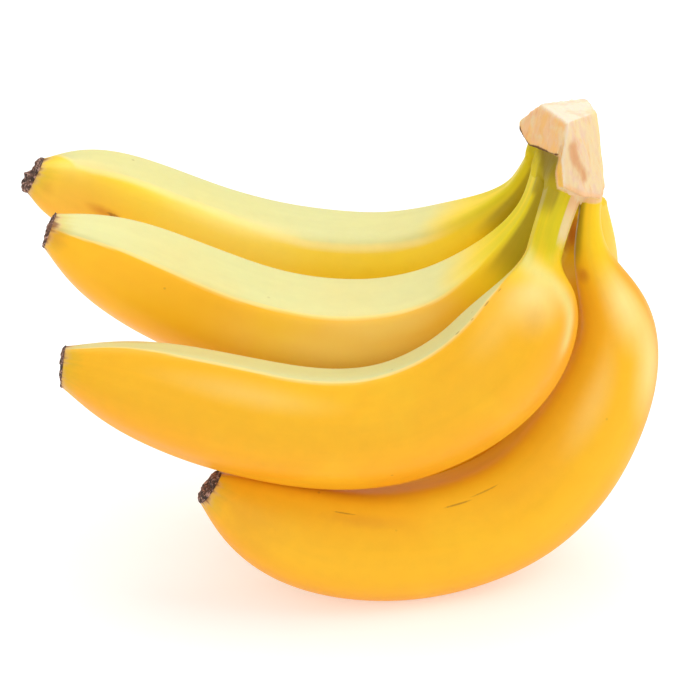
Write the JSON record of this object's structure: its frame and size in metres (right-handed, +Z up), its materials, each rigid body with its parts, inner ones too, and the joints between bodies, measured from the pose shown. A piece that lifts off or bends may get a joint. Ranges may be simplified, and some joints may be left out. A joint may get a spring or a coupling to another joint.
{
  "type": "bunch of bananas",
  "caption": "Bunch of ripe bananas on one cut crown, lying on the convex backs of its outer fruits with the crown raised.",
  "frame": {"origin": "middle of the bounding box at the level of the surface that the bunch rests on", "axes": "+X from the blossom ends towards the crown, +Z up, -Y towards the side that the picture shows"},
  "size_m": [0.2008, 0.1126, 0.1503],
  "materials": {
    "peel": "satin waxy peel, yellow to orange, green-yellow at the necks",
    "crown": "dry knife-cut face, beige with brown veins, olive skin below",
    "dry_tip": "rough dried crust, dark brown"
  },
  "bodies": {
    "root": {"crown": "crown", "banana_back": "peel", "banana_middle": "peel", "banana_front": "peel", "banana_outer": "peel", "banana_hidden": "peel", "dry_tip_back": "dry_tip", "dry_tip_middle": "dry_tip", "dry_tip_front": "dry_tip", "dry_tip_outer": "dry_tip", "dry_tip_hidden": "dry_tip"}
  },
  "joints": []
}
